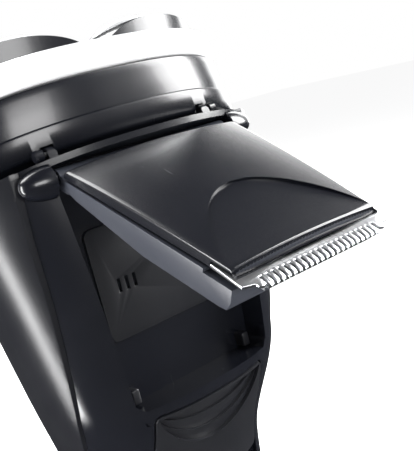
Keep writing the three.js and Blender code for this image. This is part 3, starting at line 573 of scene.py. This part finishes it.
def fairingDrop(name, side, grow, material=None):
    f = fairingShape
    profile = [(0, 0.01)]
    for s in range(1, 25):
        turn = math.pi / 2 * s / 24
        # The drop is full near the bay and drawn out to its tip.
        profile.append((math.sin(turn), math.cos(turn) ** 0.9))
    rings = []
    for share, width in [(0, 0.6), (0, 0.92), (0.03, 1.0)] + profile[2:]:
        radius = max(0.02, (f["radius"] + grow) * width)
        depth = f["low"] - grow + (f["length"] + 2 * grow) * share
        turn = [2 * math.pi * i / 48 for i in range(48)]
        rings.append([(side * depth, f["y"] + radius * math.cos(t),
            f["z"] + radius * math.sin(t)) for t in turn])
    return loftObject(name, rings, material)


def makeHandle():
    gloss, wall = finishes["gloss"], handleShape["wall"]
    rows = handleShape["rows"]

    def outerShell(inset, name="outer"):
        return loftObject(name, handleRings(inset, 0, 136, rows), gloss)

    def innerShell(name="inner"):
        return loftObject(name, handleRings(wall, 3, 137, rows // 2))

    def belowDeck(drop=2.0):
        return leaningBox("belowDeck", (-60, -90, -160), (60, 90, -drop))

    bay = backPrism("bay", bayOutline(0), bayShape["floorY"], 60)
    bay = combine(bay, [leaningBox("roof", (-60, -90, -160), (60, 90, -3))], "INTERSECT")
    tub = backPrism("tub", bayOutline(bayShape["wall"]), bayShape["floorY"] - bayShape["wall"], 40)
    tub = combine(tub, [outerShell(0), belowDeck()], "INTERSECT")
    reach = slideShape["length"] / 2
    channelOutline = roundedRect(slideShape["half"] + 1.5, -reach - slideShape["travel"] - 1.6,
        reach + 1.4, 2)
    channel = slidePrism("channel", channelOutline, -slideShape["deep"] - 1.4, 6)
    channel = combine(channel, [outerShell(0)], "INTERSECT")
    hollow = slidePrism("hollow", roundedRect(slideShape["half"] + 0.35,
        -reach - slideShape["travel"] - 0.4,
                                              reach + 0.4, 1.6), -slideShape["deep"] - 0.35, 12)
    holes = [gripPrism("gripHole", gripEdges["seam"], 18.3, 60), gripPrism("gripHole",
        gripEdges["seam"], -60, -18.3)]
    drops = [fairingDrop("dropHole", side, 0.12) for side in (1, -1)]
    above = boxObject("above", (-60, -60, 3.3), (60, 60, 150))
    behind = boxObject("behind", (-60, -3.9, -5), (60, 60, 150))
    rear = combine(outerShell(0), [innerShell()], "DIFFERENCE")
    rear = combine(rear, [belowDeck(), above, behind], "INTERSECT")
    rear = combine(rear, holes, "DIFFERENCE")
    rear = combine(rear, [tub, channel], "UNION")
    screws = [prismObject("hole", [(x + 2.1 * math.cos(t), 22 + 2.1 * math.sin(t))
                                   for t in [2 * math.pi * i / 32 for i in range(32)]],
                          lambda a, b, d: (a, d, b), 7.4, 20) for x in (-8, 8)]
    rear = combine(rear, [bay, hollow] + drops + screws, "DIFFERENCE")
    for side in (1, -1):
        lug = loftObject("lug", rodRings([(15.2, 0.8), (15.4, 1.05), (16.6, 1.05), (16.8, 0.8)], 20,
                                         lambda a, b, d, s=side: lean(s * d, 20.4 + a, -0.2 + b)))
        foot = leaningBox("foot", (15.2 if side > 0 else -16.8, 19.35, -2.5),
            (16.8 if side > 0 else -15.2, 21.45, -0.2))
        rear = combine(rear, [foot, lug], "UNION")
    rear.name = "rearHousing"
    rear = softenEdges(rear, 0.16)
    rear.data.materials.clear()
    rear.data.materials.append(gloss)
    settle(rear, "handle", "gloss", "rear_housing")

    power = prismObject("power", [(6.3 * math.cos(t), 72 + 6.3 * math.sin(t))
                                  for t in [2 * math.pi * i / 64 for i in range(64)]],
                        lambda a, b, d: (a, d, b), -40, -8)
    release = backPrism("release", roundedRect(6.8, 100.1, 105.9, 1.2), -40, -12)
    light = prismObject("light", [(1.7 * math.cos(t), 52 + 1.7 * math.sin(t))
                                  for t in [2 * math.pi * i / 32 for i in range(32)]],
                        lambda a, b, d: (a, d, b), -40, -8)
    above = boxObject("above", (-60, -60, 3.3), (60, 60, 150))
    ahead = boxObject("ahead", (-60, -60, -5), (60, -4.1, 150))
    front = combine(outerShell(0), [innerShell()], "DIFFERENCE")
    front = combine(front, [belowDeck(), above, ahead], "INTERSECT")
    holes = [gripPrism("gripHole", gripEdges["seam"], 18.3, 60), gripPrism("gripHole",
        gripEdges["seam"], -60, -18.3)]
    front = combine(front, holes + [power, release, light], "DIFFERENCE")
    front.name = "frontHousing"
    front = softenEdges(front, 0.16)
    settle(front, "handle", "gloss", "front_housing")

    for name, side in (("leftGrip", 1), ("rightGrip", -1)):
        grip = combine(outerShell(-handleShape["crease"], name), [innerShell()], "DIFFERENCE")
        low, high = (18.6, 60) if side > 0 else (-60, -18.6)
        grip = combine(grip, [gripPrism("side", 0, low, high), belowDeck()], "INTERSECT")
        tubSpace = backPrism("tubSpace", bayOutline(bayShape["wall"] + 0.3), 7.7, 40)
        grip = combine(grip, [tubSpace, fairingDrop("dropHole", side, 0.12)], "DIFFERENCE")
        grip = softenEdges(grip, 0.45, segments=4)
        grip.data.materials.clear()
        grip.data.materials.append(finishes["grip"])
        grip.name = name
        settle(grip, "handle", "grip", "left_grip" if side > 0 else "right_grip")
    for name, side, node in (("leftFairing", 1, "left_hinge_fairing"), ("rightFairing", -1,
        "right_hinge_fairing")):
        drop = fairingDrop(name, side, 0, gloss)
        pin = loftObject("pin", rodRings([(14.6, 0.7), (14.7, 0.8), (18.5, 0.8)], 24,
                                         lambda a, b, d, s=side: (s * d, 14 + a, 126 + b)), gloss)
        settle(join(name, [drop, pin]), "handle", "gloss", node)


makeHandle()
print("handle made")


def repeatTree(name, around):
    # Copies the given mesh in a row by Step, each copy turned by Turn when around is set.
    tree = bpy.data.node_groups.new(name, "GeometryNodeTree")
    addSocket(tree, "Geometry", "NodeSocketGeometry", "INPUT")
    addSocket(tree, "Count", "NodeSocketInt", "INPUT", 2)
    addSocket(tree, "Step", "NodeSocketVector", "INPUT", (0.001, 0, 0))
    addSocket(tree, "Turn", "NodeSocketVector", "INPUT", (0, 0, 0))
    addSocket(tree, "Material", "NodeSocketMaterial", "INPUT")
    addSocket(tree, "Geometry", "NodeSocketGeometry", "OUTPUT")
    nodes, links = tree.nodes, tree.links
    given, out = nodes.new("NodeGroupInput"), nodes.new("NodeGroupOutput")
    line = nodes.new("GeometryNodeMeshLine")
    links.new(given.outputs["Count"], line.inputs["Count"])
    links.new(given.outputs["Step"], line.inputs["Offset"])
    copies = nodes.new("GeometryNodeInstanceOnPoints")
    links.new(line.outputs["Mesh"], copies.inputs["Points"])
    links.new(given.outputs["Geometry"], copies.inputs["Instance"])
    if around:
        index = nodes.new("GeometryNodeInputIndex")
        turn = nodes.new("ShaderNodeVectorMath")
        turn.operation = "SCALE"
        links.new(given.outputs["Turn"], turn.inputs[0])
        links.new(index.outputs[0], turn.inputs["Scale"])
        links.new(turn.outputs[0], copies.inputs["Rotation"])
    real = nodes.new("GeometryNodeRealizeInstances")
    links.new(copies.outputs[0], real.inputs[0])
    paint = nodes.new("GeometryNodeSetMaterial")
    links.new(real.outputs[0], paint.inputs["Geometry"])
    links.new(given.outputs["Material"], paint.inputs["Material"])
    links.new(paint.outputs[0], out.inputs[0])
    return tree


rowTree = repeatTree("repeatInRow", False)
turnTree = repeatTree("repeatAround", True)


def repeated(made, tree, values):
    step = made.modifiers.new("repeat", "NODES")
    step.node_group = tree
    for item in tree.interface.items_tree:
        if item.in_out == "INPUT" and item.name in values:
            step[item.identifier] = values[item.name]
    return applied(made)


trimmerShape = {"open": 61.9, "hingeY": 14, "hingeZ": 126, "top": 3.18, "rear": 2.5, "front": 37.8,
                "rearHalf": 17.55, "frontHalf": 14.9, "edge": 1.38, "crown": 150, "bow": 0.45,
                "ridge": 36.6, "coverHalf": 14.35,
                "scoopLength": 15.8, "scoopStep": 0.32, "scoopDip": 0.3, "stripDrop": 1.1, "ribs": 44,
                "slots": 22, "pitch": 1.074,
                "combTop": 1.98, "combThick": 0.5, "nose": 40.93, "root": 38.93}
trimmerTurn = Matrix.Translation((0, trimmerShape["hingeY"], trimmerShape["hingeZ"])) @ Matrix.Rotation(
    math.radians(trimmerShape["open"]), 4, "X")


def onTrimmer(x, t, n):
    point = trimmerTurn @ Vector((x, n, -t))
    return (point.x, point.y, point.z)


def trimmerHalf(t):
    s = trimmerShape
    return s["rearHalf"] - (s["rearHalf"] - s["coverHalf"]) * (t - s["rear"]) / (s["front"] - s["rear"])


def coverHeight(x, t):
    s = trimmerShape
    middle = (s["rear"] + s["front"]) / 2
    reach = (s["front"] - s["rear"]) / 2
    return s["top"] + 0.45 - x * x / (2 * s["crown"]) + s["bow"] * (1 - ((t - middle) / reach) ** 2)


def makeScoop():
    # A dished cut with a crisp curved edge that opens onto the ridge.
    s = trimmerShape
    outline = []
    for k in range(-60, 61):
        share = abs(k) / 60
        away = 1 - (1 - share) ** 2
        outline.append((math.copysign(s["coverHalf"] * (1 - (1 - away) ** 1.35) ** 0.52, k) if k else 0.0,
                        s["ridge"] - s["scoopLength"] * (1 - away)))
    outline += [(s["coverHalf"], s["ridge"] + 0.03), (-s["coverHalf"], s["ridge"] + 0.03)]
    top = prismObject("scoop", outline, lambda x, t, n: onTrimmer(x, t, n), 0, 9)
    rearTop = coverHeight(0, s["ridge"] - s["scoopLength"]) - s["scoopStep"]
    ridgeTop = coverHeight(s["coverHalf"], s["ridge"]) - 0.02
    side = []
    for k in range(41):
        share = k / 40
        t = s["ridge"] + 0.5 - (s["scoopLength"] + 1) * share
        side.append((t,
            ridgeTop + (rearTop - ridgeTop) * share - s["scoopDip"] * math.sin(math.pi * share)))
    side += [(s["ridge"] - s["scoopLength"] - 0.5, 10), (s["ridge"] + 0.5, 10)]
    dish = prismObject("dish", side, lambda t, n, x: onTrimmer(x, t, n), -25, 25)
    return combine(top, [dish], "INTERSECT")


def makeCover():
    s = trimmerShape
    places = [s["rear"] + 0.02, s["rear"] + 0.1, s["rear"] + 0.25, s["rear"] + 0.45]
    steps = 150
    places += [s["rear"] + 0.45 + (s["ridge"] - s["rear"] - 0.45) * i / steps for i in range(1, steps + 1)]
    places += [s["ridge"] + 0.12, s["ridge"] + 0.3, s["front"] - 0.55, s["front"] - 0.45,
    s["front"] - 0.1, s["front"]]
    drops = {0: 0.45, 1: 0.22, 2: 0.08, 3: 0.0}
    total = len(places)
    drops.update({total - 6: 0.04, total - 5: 0.16, total - 4: s["stripDrop"],
        total - 3: s["stripDrop"] - 0.14,
                  total - 2: s["stripDrop"] - 0.12, total - 1: s["stripDrop"] + 0.1})
    across = 150
    radius = 0.42
    rings = []
    for index, t in enumerate(places):
        half = trimmerHalf(t)
        drop = drops.get(index, 0)
        under = s["edge"] if t < 33.1 else s["combTop"] + 0.3
        ring = [(-half + 0.15, under), (-half, under + 0.12)]
        edge = coverHeight(half, t) - drop
        ring.append((-half, max(under + 0.2, edge - radius)))
        for k in range(1, 6):
            turn = math.pi / 2 * k / 6
            ring.append((-half + radius * (1 - math.cos(turn)), edge - radius * (1 - math.sin(turn))))
        inner = half - radius
        for k in range(across + 1):
            x = -inner + 2 * inner * k / across
            ring.append((x, coverHeight(x, t) - drop))
        mirrored = [(-x, n) for x, n in reversed(ring[:8])]
        rings.append([onTrimmer(x, t, n) for x, n in ring + mirrored])
    cover = loftObject("trimmerTop", rings, finishes["gloss"], sharpAngle=30)
    cover = combine(cover, [makeScoop()], "DIFFERENCE")
    cover = softenEdges(cover, 0.09, angle=24, segments=2)
    cover.data.materials.clear()
    cover.data.materials.append(finishes["gloss"])
    cover.name = "trimmerTop"
    settle(cover, "trimmer", "gloss", "trimmer_cover")


def makeRibbedStrip():
    s = trimmerShape
    rows = [(s["ridge"] + 0.16, 0.1), (s["front"] - 0.5, s["stripDrop"] - 0.02)]
    half = s["coverHalf"] - 0.5

    def stripPoint(x, row, lift):
        t, drop = rows[row]
        return onTrimmer(x, t, coverHeight(x, t) - drop + lift)

    rings = []
    for k in range(61):
        x = -half + 2 * half * k / 60
        rings.append([stripPoint(x, 0, -0.15), stripPoint(x, 1, -0.15), stripPoint(x, 1, 0.05),
            stripPoint(x, 0, 0.05)])
    parts = [loftObject("strip", rings, finishes["slate"])]
    ribFaces = [(0, 1, 2), (5, 4, 3), (0, 3, 4, 1), (1, 4, 5, 2), (2, 5, 3, 0)]
    for k in range(s["ribs"]):
        x = (k - (s["ribs"] - 1) / 2) * (2 * half - 0.6) / s["ribs"]
        points = []
        for row, shift in ((0, -0.22), (1, 0.22)):
            points += [stripPoint(x + shift - 0.13, row, 0.0), stripPoint(x + shift + 0.13, row, 0.0),
                       stripPoint(x + shift, row, 0.13)]
        parts.append(makeObject("rib", points, ribFaces, finishes["slate"]))
    settle(join("ribbedStrip", parts), "trimmer", "slate")


def refined(name, node, material, width, body, slot, segments=2):
    # A merged copy of a frame piece with its flat faces joined and its edges rounded.
    bm = bmesh.new()
    bm.from_mesh(frame["nodes"][node].data)
    bmesh.ops.remove_doubles(bm, verts=bm.verts, dist=5e-7)
    bmesh.ops.dissolve_limit(bm, angle_limit=math.radians(1.5), verts=bm.verts, edges=bm.edges)
    mesh = bpy.data.meshes.new(name)
    bm.to_mesh(mesh)
    bm.free()
    made = finishMesh(name, mesh, material)
    if width:
        made = softenEdges(made, width, segments=segments)
    return settle(made, body, slot, node)


def makeComb():
    s = trimmerShape
    steel = finishes["combSteel"]
    top, thick = s["combTop"], s["combThick"]
    profile = [(s["root"] - 0.4, top), (s["nose"] - 1.35, top), (s["nose"] - 0.55, top - 0.1),
        (s["nose"] - 0.1, top - 0.42),
               (s["nose"], top - 0.75), (s["nose"] - 0.22, top - 0.86), (s["nose"] - 0.75,
               top - thick - 0.08),
               (s["nose"] - 1.4, top - thick), (s["root"] - 0.4, top - thick)]
    widths = [0.31, 0.31, 0.27, 0.2, 0.15, 0.15, 0.25, 0.31, 0.31]
    start = -(s["slots"] - 2) / 2 * s["pitch"]
    count = len(profile)
    points = [onTrimmer(start - w, t, n) for (t, n), w in zip(profile, widths)]
    points += [onTrimmer(start + w, t, n) for (t, n), w in zip(profile, widths)]
    tooth = makeObject("teeth", points, ringFaces(2, count), steel)
    tooth = softenEdges(tooth, 0.07, segments=2)
    teeth = repeated(tooth, rowTree, {"Count": s["slots"] - 1, "Step": (s["pitch"] * mm, 0, 0),
        "Material": steel})
    half = s["frontHalf"]
    slotEnd = s["slots"] / 2 * s["pitch"] - 0.23
    outline = [(-slotEnd, s["root"]), (-slotEnd, s["nose"] - 0.5)]
    outline += [(-slotEnd - 0.5 - 0.8 * math.sin(a), s["nose"] - 1.1 + 0.9 * math.cos(a))
                for a in [math.pi / 2 * k / 6 for k in range(1, 7)]]
    outline += [(-half, s["nose"] - 1.6), (-half, s["front"] - 4.6)]
    full = outline + [(-x, t) for x, t in reversed(outline)]
    plate = prismObject("plate", full, onTrimmer, top - thick, top, steel)
    plate = softenEdges(plate, 0.12, segments=3)
    comb = join("trimmerComb", [plate, teeth])
    settle(comb, "trimmer", "silver", "trimmer_comb")


makeCover()
makeRibbedStrip()
makeComb()
refined("trimmerTray", "trimmer_tray", finishes["slate"], 0.22, "trimmer", "slate", segments=3)
print("trimmer made")


headShape = {"half": 33.2, "deep": 21.5, "power": 2.5, "lean": math.tan(headTilt), "around": 240,
             "chamber": [(0.0, 0.5), (0.12, 0.22), (0.45, 0.0), (3.4, 0.02), (3.75, 0.1), (3.95, 0.38),
             (4.1, 0.52),
                         (5.5, 0.62), (7, 0.85), (9, 1.18), (9.95, 1.36), (10.2, 1.45), (10.3, 1.65)],
             "band": [(10.65, 1.9), (10.72, 1.6), (11.0, 1.3), (11.7, 1.1), (12.6, 1.12), (13.2, 1.42),
             (13.8, 1.2),
                      (14.4, 1.32), (14.9, 1.6), (15.25, 2.0), (15.45, 2.5), (15.5, 3.0), (15.42, 3.4),
                      (15.1, 3.72)]}
headAngles = evenAngles(headShape["around"], headShape["power"])


def headRing(height, inset):
    s = headShape
    ring = []
    for angle in headAngles:
        across, along = rounded(angle, s["power"])
        ring.append(lean(across * (s["half"] - inset), s["lean"] * height + along * (s["deep"] - inset),
            height))
    return ring


def makeChamber():
    s = headShape
    outside = [headRing(h, i) for h, i in s["chamber"]]
    inside = [headRing(10.3, 2.85), headRing(10.1, 3.0), headRing(7, 2.45), headRing(4, 1.7),
        headRing(1.4, 1.6)]
    chamber = loftObject("hairChamber", outside + inside, finishes["gloss"])
    hole = loftObject("hole", rodRings([(-1, 4.0), (3, 4.0)], 40, lambda a, b, d: lean(a, -0.704 + b, d)))
    clear = [leaningBox("clear", (14.85, 19.0, -2), (17.15, 22.5, 1.2)), leaningBox("clear", (-17.15,
        19.0, -2),
                                                                                 (-14.85, 22.5, 1.2))]
    chamber = combine(chamber, [hole] + clear, "DIFFERENCE")
    for side in (1, -1):
        lug = loftObject("lug", rodRings([(17.2, 0.8), (17.4, 1.05), (18.6, 1.05), (18.8, 0.8)], 24,
                                         lambda a, b, d, k=side: lean(k * d, 20.4 + a, -0.2 + b)))
        chamber = combine(chamber, [lug], "UNION")
    chamber = applied(chamber, "hairChamber")
    chamber.data.materials.clear()
    chamber.data.materials.append(finishes["gloss"])
    settle(chamber, "head_unit", "gloss", "hair_chamber")


def makeBand():
    outside = [headRing(h, i) for h, i in headShape["band"]]
    band = loftObject("headBand", outside + [headRing(11.0, 3.6), headRing(10.65, 3.3)], finishes["silver"],
                      closed=True, sharpAngle=60)
    settle(band, "head_unit", "silver", "head_frame")


shavingShape = {"places": [(12.2, 13), (-12.2, 13), (0, -2.2)], "hubY": 10.296, "guard": 7.6, "top": 21,
    "low": 17.4,
                "lobeLow": 14.6, "domeDrop": 0.6, "bars": 54, "barWidth": 0.3,
                "domes": [(13.4, 12.6, 16.5, 14.5), (-13.4, 12.6, 16.5, 14.5), (0, -2.2, 19, 12.5)],
                "height": 7.2}


def makeLobes():
    s = shavingShape
    y = s["hubY"]
    run = Vector((15.2, -12.2)).normalized() * 80
    sectors = [[(0.35, 80), (0.35, y + 0.35), (run.x, y + run.y + 0.35), (80, 80)],
               [(-80, 80), (-run.x, y + run.y + 0.35), (-0.35, y + 0.35), (-0.35, 80)],
               [(0, y - 0.5), (-run.x, y + run.y - 0.5), (run.x, y + run.y - 0.5)]]
    low = s["lobeLow"]
    for index, (place, dome, sector) in enumerate(zip(s["places"], s["domes"], sectors)):
        rings = []
        for k in range(1, 60):
            turn = math.pi * k / 60
            radius, height = math.sin(turn), -math.cos(turn)
            rings.append([lean(dome[0] + dome[2] * radius * math.cos(a),
                dome[1] + dome[3] * radius * math.sin(a),
                               low - s["domeDrop"] + s["height"] * height) for a in [2 * math.pi * i / 120 for i in range(120)]])
        lobe = loftObject("lobe", rings, finishes["gloss"])
        block = loftObject("block", [headRing(low, 4.4), headRing(25, 4.8)])
        part = prismObject("part", sector, lean, 5, 40)
        lobe = combine(lobe, [block, part], "INTERSECT")
        hole = loftObject("hole", rodRings([(0, s["guard"] + 0.3), (40, s["guard"] + 0.3)], 96,
                                           lambda a, b, d, p=place: lean(p[0] + a, p[1] + b, d)))
        lobe = combine(lobe, [hole], "DIFFERENCE")
        lobe = softenEdges(lobe, 0.3, segments=3)
        lobe.data.materials.clear()
        lobe.data.materials.append(finishes["gloss"])
        lobe.name = "headLobe" + str(index + 1)
        settle(lobe, "shaving_head_" + str(index + 1), "gloss", "head_collar_" + str(index + 1))


def makeGuards():
    # A guard is a rim, a cap and a ring of fine bars with slots between them.
    s = shavingShape
    steel = finishes["silver"]
    for index, place in enumerate(s["places"]):
        def at(a, b, d, p=place):
            return lean(p[0] + a, p[1] + b, d)
        r = s["guard"]
        rim = [(s["low"], r), (s["top"] - 0.9, r), (s["top"] - 0.35, r - 0.12), (s["top"] - 0.08, r - 0.4),
               (s["top"], r - 0.8), (s["top"], r - 1.3), (s["top"] - 0.35, r - 1.3), (s["top"] - 0.5,
               r - 0.75),
               (s["low"], r - 0.5)]
        rimPiece = loftObject("rim", rodRings(rim, 96, at), steel, closed=True)
        cap = [(s["top"] - 0.5, 0.02), (s["top"] - 0.5, 3.4), (s["top"] - 0.2, 3.62), (s["top"], 3.5),
            (s["top"], 2.7),
               (s["top"] - 0.16, 2.4), (s["top"] - 0.18, 0.02)]
        capPiece = loftObject("cap", rodRings(cap, 72, at), steel)
        bar = boxObject("bars", (3.4, -s["barWidth"] / 2, -0.42), (r - 1.1, s["barWidth"] / 2, -0.02),
            steel)
        bars = repeated(bar, turnTree, {"Count": s["bars"], "Step": (0, 0, 0), "Material": steel,
                                        "Turn": (0, 0, 2 * math.pi / s["bars"])})
        shift = Matrix.Diagonal((mm, mm, mm, 1)) @ headPlace @ Matrix.Translation((*place, s["top"]))
        bars.data.transform(shift @ Matrix.Diagonal((1 / mm, 1 / mm, 1 / mm, 1)))
        guard = join("shavingGuard" + str(index + 1), [rimPiece, capPiece, bars])
        settle(guard, "shaving_head_" + str(index + 1), "silver", "guard_" + str(index + 1))


makeChamber()
makeBand()
makeLobes()
makeGuards()
print("head made")


crescentShape = {"reach": [3.6, 6.6, 9.4], "step": [1.7, 1.15, 0.6], "side": 0.5}


def makeSlide():
    # Three nested crescents step down into the slide for the thumb.
    reach = slideShape["length"] / 2
    half = slideShape["half"]
    body = slidePrism("thumbSlide", roundedRect(half, -reach, reach, 1.2), -slideShape["deep"], 6)
    body = combine(body, [loftObject("surface", handleRings(-0.15, 40, 110, 90))], "INTERSECT")
    c = crescentShape
    for deep, step in zip(c["reach"], c["step"]):
        outline = []
        wide = half - c["side"]
        for k in range(-40, 41):
            x = wide * math.sin(math.pi / 2 * k / 40)
            outline.append((x, reach - 0.5 - deep * (1 - (x / wide) ** 2) ** 0.75))
        cut = slidePrism("crescent", outline, -3, 8)
        surface = loftObject("under", handleRings(step, 40, 110, 90))
        cut = combine(cut, [surface], "DIFFERENCE")
        body = combine(body, [cut], "DIFFERENCE")
    body = softenEdges(body, 0.2, angle=25, segments=3)
    body.data.materials.clear()
    body.data.materials.append(finishes["satin"])
    body.name = "thumbSlide"
    settle(body, "slide_body", "satin", "trimmer_slide")


bayDetail = {"plate": (13.4, 96, 116), "lift": 0.45, "catch": (12.9, 85.0, 1.5, 2.6), "slit": (9.2, 104,
    2.4)}


def makeBayDetail():
    d = bayDetail
    floorY = bayShape["floorY"]
    half, low, high = d["plate"]
    plate = backPrism("plate", roundedRect(half, low, high, 1.5), floorY - 0.2, floorY + d["lift"])
    slits = []
    for k in range(3):
        x = d["slit"][0] - 1.6 * k
        slits.append(boxObject("slit", (x - 0.3, floorY - 2, d["slit"][1]), (x + 0.3, 20,
            d["slit"][1] + d["slit"][2])))
    plate = softenEdges(combine(plate, slits, "DIFFERENCE"), 0.12)
    parts = [plate]
    x, z, wide, tall = d["catch"]
    for side in (1, -1):
        low = (side * x - wide / 2, floorY - 0.2, z)
        high = (side * x + wide / 2, floorY + 2.4, z + tall)
        parts.append(softenEdges(boxObject("catch", low, high), 0.25, segments=3))
    detail = join("bayFloorPlate", parts)
    detail.data.materials.clear()
    detail.data.materials.append(finishes["satin"])
    settle(detail, "handle", "satin")


makeSlide()
makeBayDetail()
for name, node, width in (("baseCap", "base_cap", 0.4), ("powerButton", "power_button", 0.3),
                          ("releaseButton", "head_release_button", 0.35), ("socket", "charging_socket",
                          0.1),
                          ("deck", "top_deck", 0.15)):
    body = {"power_button": "power_button_body", "head_release_button": "release_button_body"}.get(node,
        "handle")
    refined(name, node, finishes["satin"], width, body, "satin", segments=3)
print("slide, bay and buttons made")
